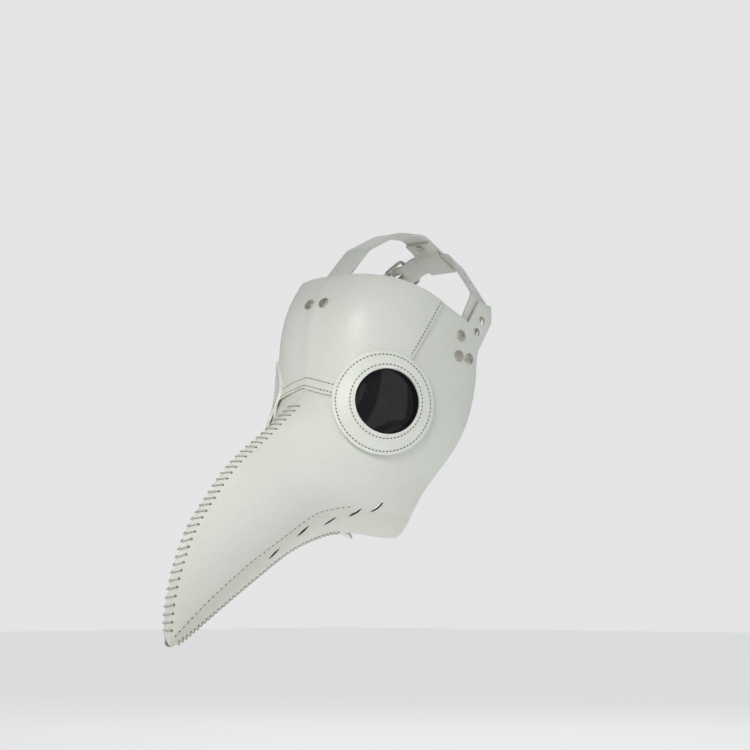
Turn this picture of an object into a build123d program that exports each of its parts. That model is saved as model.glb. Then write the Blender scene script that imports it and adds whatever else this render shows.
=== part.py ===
"""Plague doctor mask: white leather panels sewn into a hooked beak, with a strap harness.

Millimetres, +Z up. The origin is the bridge of the nose, where the beak's ridge starts on the
centreline. The mask faces -Y, and +X is the wearer's left. Left parts are made first and the
right ones are their mirror images in the plane X = 0.
"""
import math
import os

import numpy as np
from build123d import *

# ---- leather, thread and lens thicknesses -------------------------------------------------------
PANEL_THICK = 2.0
TIP_THICK = 0.8
SKIVE_START = 11.0
FOREHEAD_THICK = 1.6
EYE_RING_THICK = 2.2
LENS_THICK = 1.2
BACKING_THICK = 1.5
STRAP_THICK = 2.2
LAYER_GAP = 0.12
SEAM_GAP = 0.12
THREAD_RADIUS = 0.55

# ---- eye openings -------------------------------------------------------------------------------
EYE_CENTRE = (61.0, 29.0, -14.7)
EYE_HOLE_SHIFT = (3.1, 1.4)
EYE_TURN = 50.0
EYE_HOLE_RADIUS = 27.7
EYE_RING_RADIUS = 44.0
LENS_RADIUS = 32.0
BACKING_RADIUS = 36.0

# ---- outlines seen from the side, as (Y, Z) ------------------------------------------------------
TOP_EDGE = [(-60, 100), (30, 98), (60, 87.5), (87, 74), (118, 59)]
REAR_EDGE = [(127.3, 26), (126.5, 12), (121, -12), (109, -39), (92, -67), (79, -93), (76.5, -108), (80, -130)]
TAB_END = [(132, 78.5), (148.5, 75), (147.5, 61), (138, 47.5)]
TAB_WAIST = (129.5, 35.5)
TEMPLE_SEAM_TOP = (96, 86)
TEMPLE_SEAM_FOOT = (40, 5.6)
SEAM_OVERLAP = 9.0
HIDDEN_EDGE_Z = 9.0
BAND_PEAK_Z = 0.0
BAND_SIDE = (25.0, -7.0)
FAR = 260.0

# ---- small features ------------------------------------------------------------------------------
SLIT_LENGTH = 14.0
SLIT_WIDTH = 3.4
SLIT_PLACES = [(-54, -141), (-27, -122), (3.5, -113), (21, -106), (36, -101.5)]
SLIT_TILT = 52.0
TAB_HOLES = [(127.7, 51.4), (135, 62)]
TAB_HOLE_RADIUS = 3.6
TEMPLE_RIVETS = [(107.5, 46.5), (104.5, 29), (117, 27)]
FOREHEAD_RIVET_X = 8.5
FOREHEAD_RIVET_ALONG = 1.12
RIVET_CAP_RADIUS = 4.8
RIVET_CAP_HEIGHT = 1.3
RIVET_BACK_RADIUS = 4.2
RIVET_BACK_HEIGHT = 0.8
RIVET_SHANK_RADIUS = 1.5
RIVET_HOLE_RADIUS = 1.6
LACE_INSET = 6.5
RIDGE_PITCH = 7.0
BOTTOM_PITCH = 5.0
BOTTOM_INSET = 4.0
LACE_LIFT = 0.65
THREAD_OVERRUN = 1.25
THREAD_GAP = 0.05

# ---- harness: two temple straps over the back of the crown, and a strap from the forehead --------
STRAP_WIDTH = 22.0
HARNESS_FOOT = (0.0, 108.5, 32.0)
HARNESS_RISE = 60.0
HARNESS_HALF_WIDTH = 72.6
HARNESS_SHOULDER = 56.0
HARNESS_TOP = 104.0
HARNESS_TOP_HALF = 22.0
HARNESS_BEND = 14.0
STRAP_TAIL = 18.0
STRAP_HOLE_RADIUS = 2.4
STRAP_HOLE_PITCH = 14.0
FRONT_BAR = 9.0
PIVOT_BAR = 27.0
BAR_RADIUS = 1.5
BAR_HEIGHT = 2.8
BUCKLE_HALF_WIDTH = 14.5
FOLD_RIVET = 41.0
PRONG_RADIUS = 1.0
PRONG_CLEARANCE = 0.05
PRONG_LOOP_WIDTH = 3.2
CROWN_STRAP_WIDTH = 28.0
CROWN_STRAP_SETBACK = 1.9
CROWN_RIVET_BACK = 11.5
KEEPER_WIDTH = 9.0
KEEPER_THICK = 1.6
KEEPER_PLACE = 56.5
FREE_END = 66.5

# ---- ribs: front point, front handle, rear handle and rear point of each cross line --------------
# The ribs run from the centreline at the front (X = 0) round one side of the face to the rear
# edge, or, on the beak, down its side and under it to the bottom seam. The first is the top of
# the forehead and the last is the tip.
RIBS = [
    [(0, 44, 112), (64, 40, 112), (80, 84, 112), (70, 160, 112)],
    [(0, 14, 76), (66, 12, 76), (81, 58, 74), (76, 156, 68)],
    [(0, 2, 42), (68, 1, 40), (81, 50, 34), (77, 150, 28)],
    [(0, 0, 12), (64, -3, 8), (83, 46, 0), (76, 142, -12)],
    [(0, -11, -10), (50, -14, -18), (84, 34, -34), (72, 124, -56)],
    [(0, -33, -27), (38, -28, -33), (80, 18, -64), (50, 100, -100)],
    [(0, -52, -41), (32, -40, -48), (72, 0, -88), (30, 82, -125.5)],
    [(0, -72, -54.5), (30, -56, -60), (62, -16, -104), (3, 48, -122)],
    [(0, -94, -72), (28, -76, -76), (51, -32, -119), (0, 12, -126)],
    [(0, -114, -95), (25, -96, -97), (41, -53, -134.5), (0, -20, -137.5)],
    [(0, -134, -120.5), (20, -116, -121), (31, -77, -152.5), (0, -54, -157)],
    [(0, -148, -150), (15, -132, -149), (22, -103, -174.5), (0, -88, -178)],
    [(0, -156, -176), (10, -146, -176), (13.5, -127, -194), (0, -118, -197.5)],
    [(0, -159, -199), (6, -154, -199.5), (7, -144.5, -209), (0, -139, -211)],
    [(0, -157, -210.5), (3.2, -157.5, -214), (3.2, -153.5, -217), (0, -150, -216)],
]
RIB_STEPS = 20
ALONG_STEPS = 5


def rib_splines():
    """Second derivatives of a natural cubic spline through each rib coordinate."""
    values = np.array(RIBS, dtype=float)
    count = len(values)
    matrix = np.eye(count)
    right = np.zeros_like(values)
    for row in range(1, count - 1):
        matrix[row, row - 1:row + 2] = (1.0, 4.0, 1.0)
        right[row] = 6.0 * (values[row - 1] - 2.0 * values[row] + values[row + 1])
    bends = np.linalg.solve(matrix, right.reshape(count, -1)).reshape(values.shape)
    return values, bends


RIB_VALUES, RIB_BENDS = rib_splines()


def rib_at(along):
    """The four control points of the rib at a place along the mask, 0 at the forehead's top."""
    low = min(int(along), len(RIBS) - 2)
    rest = along - low
    left = 1.0 - rest
    flat = left * RIB_VALUES[low] + rest * RIB_VALUES[low + 1]
    curl = (left**3 - left) * RIB_BENDS[low] + (rest**3 - rest) * RIB_BENDS[low + 1]
    return flat + curl / 6.0


def surface_point(across, along):
    """A point on the outside of the leather: across is 0 on the centreline and 1 at the rear."""
    first, second, third, last = rib_at(along)
    left = 1.0 - across
    return (left**3 * first + 3 * left**2 * across * second
            + 3 * left * across**2 * third + across**3 * last)


def surface_normal(across, along):
    """The outward normal there."""
    step = 0.002
    a0, a1 = max(across - step, 0.0), min(across + step, 1.0)
    b0, b1 = max(along - step, 0.0), min(along + step, len(RIBS) - 1.0)
    side = surface_point(a1, along) - surface_point(a0, along)
    length = surface_point(across, b1) - surface_point(across, b0)
    normal = np.cross(length, side)
    return normal / np.linalg.norm(normal)


def skin(out, start, end):
    """One face outside the leather's outer surface, between two ribs; out is a function of along."""
    rows = int(round((end - start) * ALONG_STEPS)) + 1
    grid = []
    for row in range(rows):
        along = start + (end - start) * row / (rows - 1)
        line = []
        for column in range(RIB_STEPS + 1):
            across = column / RIB_STEPS
            line.append(surface_point(across, along) + out(along) * surface_normal(across, along))
        grid.append([tuple(point) for point in line])
    corners = [grid[0][0], grid[0][-1], grid[-1][-1], grid[-1][0]]
    return Face.make_surface_from_array_of_points(grid, tol=0.01), corners


def side_edge(face, first, second):
    """The edge of a face that runs from one corner to the other."""
    def miss(edge):
        start, stop = edge @ 0, edge @ 1
        straight = (start - Vector(first)).length + (stop - Vector(second)).length
        turned = (start - Vector(second)).length + (stop - Vector(first)).length
        return min(straight, turned)
    return min(face.edges(), key=miss)


def sheet(inner, thick, start, end, tip_thick=None):
    """A solid layer of leather whose inner face is a distance outside the outer surface.

    A layer that reaches the tip is skived thinner there, from the rib SKIVE_START on.
    """
    def inner_out(along):
        if tip_thick is None or along <= SKIVE_START:
            return inner
        share = (along - SKIVE_START) / (end - SKIVE_START)
        return inner + (thick - tip_thick) * share

    low, low_corners = skin(inner_out, start, end)
    high, high_corners = skin(lambda along: inner + thick, start, end)
    faces = [low, high]
    for side in range(4):
        after = (side + 1) % 4
        bottom = side_edge(low, low_corners[side], low_corners[after])
        top = side_edge(high, high_corners[side], high_corners[after])
        faces.append(Face.make_surface_from_curves(bottom, top))
    return Solid(Shell(Face.sew_faces(faces)[0]))


def side_prism(outline):
    """A prism along X over an outline drawn in the side view, on the +X side."""
    return extrude(Plane.YZ * make_face(outline), FAR)


def find_on_side(y, z):
    """The (across, along) whose surface point has this Y and Z, by Newton's method."""
    across, along = 0.6, 4.0 if z > -80 else 7.5
    step = 1e-3
    for _ in range(40):
        here = surface_point(across, along)[1:]
        d_across = (surface_point(across + step, along)[1:] - here) / step
        d_along = (surface_point(across, along + step)[1:] - here) / step
        jump = np.linalg.solve(np.column_stack([d_across, d_along]), np.array([y, z]) - here)
        across = float(np.clip(across + np.clip(jump[0], -0.2, 0.2), 0.02, 0.98))
        along = float(np.clip(along + np.clip(jump[1], -1.0, 1.0), 0.0, len(RIBS) - 1.1))
    return across, along


def plane_on(across, along, out=0.0, upright=(0, 0, 1)):
    """A plane on the leather, its Z outwards and its Y as near to upright as it can be."""
    normal = surface_normal(across, along)
    origin = surface_point(across, along) + out * normal
    level = np.cross(np.array(upright, dtype=float), normal)
    return Plane(origin=tuple(origin), x_dir=tuple(level), z_dir=tuple(normal))


def eye_plane():
    """The plane of the eye opening, its Z outwards."""
    turn = math.radians(EYE_TURN)
    return Plane(origin=EYE_CENTRE, x_dir=(math.cos(turn), math.sin(turn), 0),
                 z_dir=(math.sin(turn), -math.cos(turn), 0))


def eye_cylinder(radius, centre=EYE_HOLE_SHIFT):
    """A long cylinder along the eye's axis, round the hole's centre unless told otherwise."""
    return eye_plane() * Pos(*centre, 0) * Cylinder(radius, 2 * EYE_RING_RADIUS)


def half_space():
    """The left half of space, short of the centre seam."""
    return Pos(SEAM_GAP + FAR, 0, 0) * Box(2 * FAR, 4 * FAR, 4 * FAR)


def side_outline():
    """What the side panel keeps in the side view: beak, cheek, temple and strap tab."""
    seam_y = TEMPLE_SEAM_TOP[0] - TEMPLE_SEAM_FOOT[0]
    seam_z = TEMPLE_SEAM_TOP[1] - TEMPLE_SEAM_FOOT[1]
    slope = math.hypot(seam_y, seam_z)
    shift = (-SEAM_OVERLAP * seam_z / slope, SEAM_OVERLAP * seam_y / slope)
    hidden_top = TOP_EDGE[2]
    hidden_foot = (TEMPLE_SEAM_FOOT[0] + shift[0], TEMPLE_SEAM_FOOT[1] + shift[1])
    corner = (hidden_foot[0], HIDDEN_EDGE_Z)
    rear = Spline(*[TAB_WAIST, *REAR_EDGE])
    front = Polyline(REAR_EDGE[-1], (REAR_EDGE[-1][0], -FAR), (-FAR, -FAR), (-FAR, HIDDEN_EDGE_Z),
                     corner, hidden_foot, hidden_top)
    top = Polyline(*TOP_EDGE[2:], *TAB_END, TAB_WAIST)
    return [rear, front, top]


def slit_cutter(y, z):
    """A lens-shaped vent cut square through the leather."""
    across, along = find_on_side(y, z)
    bulge = SLIT_WIDTH / 2
    half = SLIT_LENGTH / 2
    lens = ThreePointArc((-half, 0), (0, bulge), (half, 0)) + ThreePointArc((half, 0), (0, -bulge), (-half, 0))
    face = plane_on(across, along) * (Rot(0, 0, SLIT_TILT) * make_face(lens))
    return extrude(face, 6, both=True)


def side_panel():
    """One side: beak half, cheek and temple with its strap tab, in a single piece of leather."""
    panel = sheet(-PANEL_THICK, PANEL_THICK, 0, len(RIBS) - 1, TIP_THICK)
    panel &= half_space()
    panel &= side_prism(side_outline())
    panel -= eye_cylinder(EYE_HOLE_RADIUS)
    for y, z in SLIT_PLACES:
        panel -= slit_cutter(y, z)
    for y, z in TEMPLE_RIVETS:
        panel -= plane_on(*find_on_side(y, z)) * Cylinder(RIVET_HOLE_RADIUS, 12)
    for y, z in TAB_HOLES:
        panel -= plane_on(*find_on_side(y, z)) * Cylinder(TAB_HOLE_RADIUS, 12)
    return panel


def forehead_panel():
    """The brow piece, lapped over both side panels, with its lower band over the beak's root."""
    layer = sheet(LAYER_GAP, FOREHEAD_THICK, 0, 6)
    top = Spline(*TOP_EDGE[:4])
    down = Polyline(TOP_EDGE[3], TEMPLE_SEAM_FOOT, (EYE_CENTRE[1], EYE_CENTRE[2]),
                    (EYE_CENTRE[1], -60), (-60, -60), TOP_EDGE[0])
    layer &= side_prism([top, down])
    band = Polyline((-1, BAND_PEAK_Z), BAND_SIDE, (EYE_CENTRE[0], -14), (FAR, -14), (FAR, FAR),
                    (-1, FAR), close=True)
    layer &= extrude(Plane.XZ * make_face(band), FAR, both=True)
    layer &= Pos(FAR, 0, 0) * Box(2 * FAR, 4 * FAR, 4 * FAR)
    layer -= eye_cylinder(EYE_HOLE_RADIUS)
    layer -= forehead_rivet_plane() * Cylinder(RIVET_HOLE_RADIUS, 16)
    return layer + mirror(layer, Plane.YZ)


def forehead_rivet_plane():
    """The left rivet's place at the top of the forehead."""
    across = 0.0
    while surface_point(across, FOREHEAD_RIVET_ALONG)[0] < FOREHEAD_RIVET_X:
        across += 0.001
    return plane_on(across, FOREHEAD_RIVET_ALONG)


def eye_layer(inner, thick, outer_radius, hole_radius, centre=EYE_HOLE_SHIFT):
    """A round piece bent to the face round the eye, with or without a hole."""
    layer = sheet(inner, thick, 1, 7)
    layer &= eye_cylinder(outer_radius, centre)
    if hole_radius:
        layer -= eye_cylinder(hole_radius)
    return layer


def eye_ring():
    """The sewn ring on the outside, over both panels."""
    out = 2 * LAYER_GAP + FOREHEAD_THICK
    return eye_layer(out, EYE_RING_THICK, EYE_RING_RADIUS, EYE_HOLE_RADIUS, (0, 0))


def lens():
    """The smoked lens, bent to the inside of the panel."""
    return eye_layer(-PANEL_THICK - LAYER_GAP - LENS_THICK, LENS_THICK, LENS_RADIUS, 0)


def lens_backing():
    """The leather ring that holds the lens from inside."""
    depth = PANEL_THICK + 2 * LAYER_GAP + LENS_THICK + BACKING_THICK
    return eye_layer(-depth, BACKING_THICK, BACKING_RADIUS, EYE_HOLE_RADIUS)


def rivet(depth):
    """A tubular rivet with its cap's underside at Z = 0 and its back under a depth of leather."""
    cap = Pos(0, 0, RIVET_CAP_HEIGHT / 2) * Cylinder(RIVET_CAP_RADIUS, RIVET_CAP_HEIGHT)
    cap = fillet(cap.edges().group_by(Axis.Z)[-1], RIVET_CAP_HEIGHT * 0.7)
    shank = Pos(0, 0, -depth / 2) * Cylinder(RIVET_SHANK_RADIUS, depth)
    back = Pos(0, 0, -depth - RIVET_BACK_HEIGHT / 2) * Cylinder(RIVET_BACK_RADIUS, RIVET_BACK_HEIGHT)
    return cap + shank + back


def temple_rivets():
    """Three rivets that hold the temple strap to the inside of the panel."""
    strap_inside = HARNESS_HALF_WIDTH - STRAP_THICK / 2
    pieces = []
    for y, z in TEMPLE_RIVETS:
        place = plane_on(*find_on_side(y, z), out=0.04)
        pieces.append(place * rivet(place.origin.X - strap_inside + 0.3))
    return pieces


def crown_strap_foot():
    """The crown strap's line behind the forehead: its end, its first bend and the way inwards."""
    depth = STRAP_THICK / 2 + CROWN_STRAP_SETBACK
    low = surface_point(0, 1.30)
    high = surface_point(0, 0.60)
    lean = (Vector(*high) - Vector(*low)).normalized()
    inward = Vector(0, lean.Z, -lean.Y)
    return Vector(*low) + inward * depth, Vector(*high) + inward * depth, inward


def forehead_rivets():
    """Two rivets that hold the crown strap behind the forehead's top."""
    place = forehead_rivet_plane().offset(LAYER_GAP + FOREHEAD_THICK + 0.04)
    foot, _, inward = crown_strap_foot()
    back = foot + inward * (STRAP_THICK / 2)
    depth = (back - place.origin).dot(inward) / -place.z_dir.dot(inward)
    left = place * rivet(depth + 0.6)
    return [left, mirror(left, Plane.YZ)]


# ---- harness -------------------------------------------------------------------------------------

def harness_plane():
    """The plane of the temple straps: X across the head, Y up the head's slope."""
    rise = math.radians(HARNESS_RISE)
    return Plane(origin=HARNESS_FOOT, x_dir=(1, 0, 0), z_dir=(0, -math.sin(rise), math.cos(rise)))


def slope_point(along, out):
    """A harness-plane point on the right slope: a distance down it, and a distance outwards."""
    start = Vector(-HARNESS_TOP_HALF, HARNESS_TOP)
    end = Vector(-HARNESS_HALF_WIDTH, HARNESS_SHOULDER)
    down = (end - start).normalized()
    outward = Vector(down.Y, -down.X)
    place = start + down * along + outward * out
    return (place.X, place.Y)


def slope_plane():
    """A plane on the right slope: X down the slope, Y along the strap's width, Z outwards."""
    frame = harness_plane()
    origin = frame.from_local_coords(slope_point(0, 0) + (0,))
    toward = frame.from_local_coords(slope_point(1, 0) + (0,))
    outward = frame.from_local_coords(slope_point(0, 1) + (0,))
    return Plane(origin=origin, x_dir=toward - origin, z_dir=outward - origin)


def mirror_plane(frame):
    """The same plane on the other side of the head."""
    origin, across, out = frame.origin, frame.x_dir, frame.z_dir
    return Plane(origin=(-origin.X, origin.Y, origin.Z), x_dir=(-across.X, across.Y, across.Z),
                 z_dir=(-out.X, out.Y, out.Z))


def band(frame, points, bends, width=STRAP_WIDTH, thick=STRAP_THICK):
    """A strap of one thickness along straight runs joined by arcs, drawn in a plane."""
    path = FilletPolyline(*points, radius=bends)
    profile = trace(path, line_width=thick)
    return extrude(frame * profile, width / 2, both=True)


def left_strap():
    """The holed temple strap, over the crown, through the buckle and down to its free end."""
    lap = BAR_HEIGHT + 5.4
    over_rivet = STRAP_THICK * 2 + RIVET_CAP_HEIGHT + 0.5
    snug = STRAP_THICK + 0.15
    points = [(HARNESS_HALF_WIDTH, -STRAP_TAIL), (HARNESS_HALF_WIDTH, HARNESS_SHOULDER),
              (HARNESS_TOP_HALF, HARNESS_TOP), (-HARNESS_TOP_HALF, HARNESS_TOP),
              slope_point(FRONT_BAR + 3, 0), slope_point(PIVOT_BAR - 5, lap),
              slope_point(PIVOT_BAR + 5, lap), slope_point(FOLD_RIVET - 5, over_rivet),
              slope_point(FOLD_RIVET + 5, over_rivet), slope_point(KEEPER_PLACE - 6, snug + 0.8),
              slope_point(FREE_END, snug + 0.8)]
    bends = [HARNESS_BEND, HARNESS_BEND, HARNESS_BEND, 5, 5, 5, 5, 5, 5]
    strap = band(harness_plane(), points, bends)
    frame = slope_plane()
    slot_start = FRONT_BAR - 2.5
    slot_end = PIVOT_BAR + 3.0
    slot = Box(slot_end - slot_start, 4.4, 14)
    strap -= frame * Pos((slot_start + slot_end) / 2, 0, 9.6) * slot
    near_slope = mirror_plane(frame)
    for number in range(3):
        along = PIVOT_BAR + (number - 1) * STRAP_HOLE_PITCH
        strap -= near_slope * Pos(along, 0, 0) * Cylinder(STRAP_HOLE_RADIUS, 12)
    strap -= frame * Pos(FREE_END - 5, 0, snug) * Cylinder(STRAP_HOLE_RADIUS, 8)
    for y, z in TEMPLE_RIVETS:
        strap -= plane_on(*find_on_side(y, z)) * Cylinder(RIVET_HOLE_RADIUS, 24)
    return strap


def right_strap():
    """The temple strap that carries the buckle in its folded and riveted end."""
    fold = BAR_HEIGHT
    layer = STRAP_THICK + 0.15
    points = [(-HARNESS_HALF_WIDTH, -STRAP_TAIL), (-HARNESS_HALF_WIDTH, HARNESS_SHOULDER),
              slope_point(PIVOT_BAR - fold, 0), slope_point(PIVOT_BAR - fold, 2 * fold),
              slope_point(PIVOT_BAR + 1, 2 * fold), slope_point(PIVOT_BAR + 7.5, layer),
              slope_point(FOLD_RIVET + 5.5, layer)]
    tight = fold - 0.05
    strap = band(harness_plane(), points, [HARNESS_BEND, tight, tight, 3, 3])
    frame = slope_plane()
    strap -= frame * Pos(PIVOT_BAR - 1, 0, fold) * Box(14, 4.4, 12)
    strap -= frame * Pos(FOLD_RIVET, 0, 0) * Cylinder(RIVET_HOLE_RADIUS, 12)
    for y, z in TEMPLE_RIVETS:
        strap -= mirror(plane_on(*find_on_side(y, z)) * Cylinder(RIVET_HOLE_RADIUS, 24), Plane.YZ)
    return strap


def buckle_frame():
    """A rounded wire frame with a straight bar at each end."""
    half_length = (PIVOT_BAR - FRONT_BAR) / 2
    path = FilletPolyline((-half_length, -BUCKLE_HALF_WIDTH), (half_length, -BUCKLE_HALF_WIDTH),
                          (half_length, BUCKLE_HALF_WIDTH), (-half_length, BUCKLE_HALF_WIDTH),
                          close=True, radius=3.0)
    start = Plane(origin=path @ 0, z_dir=path % 0)
    wire = sweep(start * Circle(BAR_RADIUS), path=path)
    return slope_plane() * Pos((PIVOT_BAR + FRONT_BAR) / 2, 0, BAR_HEIGHT) * wire


def buckle_prong():
    """The prong: a loop round the pivot bar and an arm that rests on the front bar."""
    inner = BAR_RADIUS + PRONG_CLEARANCE
    loop = Cylinder(inner + 1.1, PRONG_LOOP_WIDTH) - Cylinder(inner, PRONG_LOOP_WIDTH + 2)
    loop = Pos(PIVOT_BAR, 0, BAR_HEIGHT) * Rot(90, 0, 0) * loop
    rest = BAR_HEIGHT + BAR_RADIUS + PRONG_RADIUS + 0.1
    start = Vector(PIVOT_BAR - 1.6, 0, BAR_HEIGHT + 1.6)
    end = Vector(FRONT_BAR - 2.0, 0, rest)
    arm = Plane(origin=start, z_dir=end - start) * Pos(0, 0, (end - start).length / 2) * Cylinder(
        PRONG_RADIUS, (end - start).length)
    tip = Pos(*end) * Sphere(PRONG_RADIUS)
    prong = loop + (arm - Pos(PIVOT_BAR, 0, BAR_HEIGHT) * Rot(90, 0, 0) * Cylinder(inner, 8)) + tip
    return slope_plane() * prong


def strap_keeper():
    """A leather loop that holds the free end down on the right strap."""
    low = -STRAP_THICK / 2 - 0.4
    high = STRAP_THICK * 1.5 + 0.15 + 0.8 + 0.4
    deep = high - low
    wide = STRAP_WIDTH + 1.0
    ring = Box(KEEPER_WIDTH, wide + 2 * KEEPER_THICK, deep + 2 * KEEPER_THICK)
    ring = fillet(ring.edges().filter_by(Axis.X), 1.4)
    ring -= Box(KEEPER_WIDTH + 2, wide, deep)
    return slope_plane() * Pos(KEEPER_PLACE, 0, (low + high) / 2) * ring


def crown_plane():
    """The sagittal plane in harness terms: X along the temple strap's width, Y up the slope."""
    rise = math.radians(HARNESS_RISE)
    return Plane(origin=HARNESS_FOOT, x_dir=(0, math.sin(rise), -math.cos(rise)), z_dir=(1, 0, 0))


def crown_strap():
    """The strap from behind the forehead, over the head, looped round the temple strap."""
    frame = crown_plane()

    def local(y, z):
        place = frame.to_local_coords(Vector(0, y, z))
        return (place.X, place.Y)

    start, bend, _ = crown_strap_foot()
    over = HARNESS_TOP + STRAP_THICK + 0.15
    under = HARNESS_TOP - STRAP_THICK - 0.15
    turn = STRAP_WIDTH / 2 + 0.6 + STRAP_THICK / 2
    points = [local(start.Y, start.Z), local(bend.Y, bend.Z), local(60, 123), local(98, 141),
              (-turn - 23, over), (turn, over), (turn, under), (-turn + 1, under),
              (-turn - 5, HARNESS_TOP), (-turn - 16, HARNESS_TOP)]
    tight = (over - under) / 2 - 0.05
    path_bends = [26, 26, 26, 20, tight, tight, 4, 4]
    strap = band(frame, points, path_bends, width=CROWN_STRAP_WIDTH)
    hole = forehead_rivet_plane() * Cylinder(RIVET_HOLE_RADIUS, 16)
    strap -= hole
    strap -= mirror(hole, Plane.YZ)
    strap -= frame * Pos(-turn - CROWN_RIVET_BACK, HARNESS_TOP, 0) * Rot(90, 0, 0) * Cylinder(
        RIVET_HOLE_RADIUS, 12)
    return strap


# ---- lacing --------------------------------------------------------------------------------------

def edge_places(edge_across, start, end, pitch):
    """Places along one edge of the side panel, a pitch apart."""
    places = []
    along = start
    while along < end:
        places.append(along)
        here = surface_point(edge_across, along)
        step = 0.01
        speed = np.linalg.norm(surface_point(edge_across, along + step) - here) / step
        along += pitch / speed
    return places


def stitch(across, along, inset, lead):
    """One whip stitch from a hole in the left panel over the seam to its twin in the right."""
    edge_point = surface_point(across, along + lead)
    toward = -1 if across > 0.5 else 1
    hole_across = across
    while np.linalg.norm(surface_point(hole_across, along) - surface_point(across, along)) < inset:
        hole_across += toward * 0.001
    normal = surface_normal(hole_across, along)
    lift = THREAD_RADIUS + LACE_LIFT
    hole = surface_point(hole_across, along) + normal * lift
    edge_normal = surface_normal(across, along + lead)
    crown = np.array([0.0, edge_normal[1], edge_normal[2]])
    apex = edge_point + crown / np.linalg.norm(crown) * lift / max(np.linalg.norm(crown), 0.45)
    leg_vector = Vector(*(apex - hole)) * THREAD_OVERRUN
    leg = Plane(origin=tuple(hole), z_dir=leg_vector) * Pos(0, 0, leg_vector.length / 2)
    leg = leg * Cylinder(THREAD_RADIUS, leg_vector.length)
    leg &= Pos(THREAD_GAP + FAR, 0, 0) * Box(2 * FAR, 4 * FAR, 4 * FAR)
    leg = leg.solids()[0]
    return [leg, mirror(leg, Plane.YZ)]


def ridge_lacing():
    """The whip stitches down the ridge."""
    places = edge_places(0, 4.3, 13.4, RIDGE_PITCH)
    return [leg for along in places for leg in stitch(0, along, LACE_INSET, 0.12)]


def bottom_lacing():
    """The whip stitches under the beak."""
    places = edge_places(1, 7.3, 13.4, BOTTOM_PITCH)
    return [leg for along in places for leg in stitch(1, along, BOTTOM_INSET, 0.08)]


# ---- writing -------------------------------------------------------------------------------------

def write(node, shape):
    """One STEP file: a solid, or a group of solids given as a list."""
    if isinstance(shape, list):
        shape = Compound(children=[Part(piece.wrapped) for piece in shape])
    export_step(shape, f"parts/{node}.step")


def main():
    os.makedirs("parts", exist_ok=True)
    for name, piece in (("side_panel", side_panel()), ("eye_ring", eye_ring()), ("lens", lens()),
                        ("lens_backing", lens_backing())):
        write(f"left_{name}", piece)
        write(f"right_{name}", mirror(piece, Plane.YZ))
    left_rivets = temple_rivets()
    write("left_temple_rivets", left_rivets)
    write("right_temple_rivets", [mirror(piece, Plane.YZ) for piece in left_rivets])
    write("forehead_panel", forehead_panel())
    write("forehead_rivets", forehead_rivets())
    write("left_strap", left_strap())
    write("right_strap", right_strap())
    write("crown_strap", crown_strap())
    write("buckle_frame", buckle_frame())
    write("buckle_prong", buckle_prong())
    write("strap_keeper", strap_keeper())
    fold_depth = 2 * STRAP_THICK + 0.3
    fold_top = STRAP_THICK * 1.5 + 0.2
    write("buckle_strap_rivet", slope_plane() * Pos(FOLD_RIVET, 0, fold_top) * rivet(fold_depth))
    crown_across = -STRAP_WIDTH / 2 - 0.6 - STRAP_THICK / 2 - CROWN_RIVET_BACK
    crown_top = Pos(crown_across, HARNESS_TOP + STRAP_THICK * 1.5 + 0.2, 0) * Rot(-90, 0, 0)
    write("crown_loop_rivet", crown_plane() * crown_top * rivet(fold_depth))
    write("ridge_lacing", ridge_lacing())
    write("bottom_lacing", bottom_lacing())


main()
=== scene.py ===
"""A beaked leather mask: panels, eye rings, lenses, vents, stitching, lacing, harness and its studio."""
import math
import random

import bmesh
import bpy
from mathutils import Matrix, Vector
from mathutils.bvhtree import BVHTree


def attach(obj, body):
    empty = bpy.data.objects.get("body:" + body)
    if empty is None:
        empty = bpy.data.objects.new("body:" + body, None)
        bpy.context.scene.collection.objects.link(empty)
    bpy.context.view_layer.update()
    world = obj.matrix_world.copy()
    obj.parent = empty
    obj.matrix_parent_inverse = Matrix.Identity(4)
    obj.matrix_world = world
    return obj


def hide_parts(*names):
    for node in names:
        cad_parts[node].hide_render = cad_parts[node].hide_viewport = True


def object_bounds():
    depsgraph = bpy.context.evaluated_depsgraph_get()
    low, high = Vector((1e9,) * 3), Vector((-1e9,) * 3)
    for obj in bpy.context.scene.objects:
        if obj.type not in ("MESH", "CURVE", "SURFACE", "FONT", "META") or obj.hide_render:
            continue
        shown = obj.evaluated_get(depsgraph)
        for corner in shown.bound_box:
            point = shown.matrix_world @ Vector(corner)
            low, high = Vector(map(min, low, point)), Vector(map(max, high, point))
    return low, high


bl_info = {
    "name": "Beaked Leather Mask",
    "version": (1, 0, 0),
    "blender": (4, 5, 0),
    "location": "View3D > Sidebar > Mask",
    "description": "Finishes a sewn leather beak mask over its solid model",
    "category": "Object",
}

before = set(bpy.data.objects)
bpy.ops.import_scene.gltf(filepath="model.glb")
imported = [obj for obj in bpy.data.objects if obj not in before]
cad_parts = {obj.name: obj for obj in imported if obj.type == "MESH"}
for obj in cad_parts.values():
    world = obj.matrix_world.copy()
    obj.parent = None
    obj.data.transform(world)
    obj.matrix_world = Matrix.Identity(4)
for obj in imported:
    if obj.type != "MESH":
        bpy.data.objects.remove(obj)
CAD_BOX = [list(corner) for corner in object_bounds()]

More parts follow.
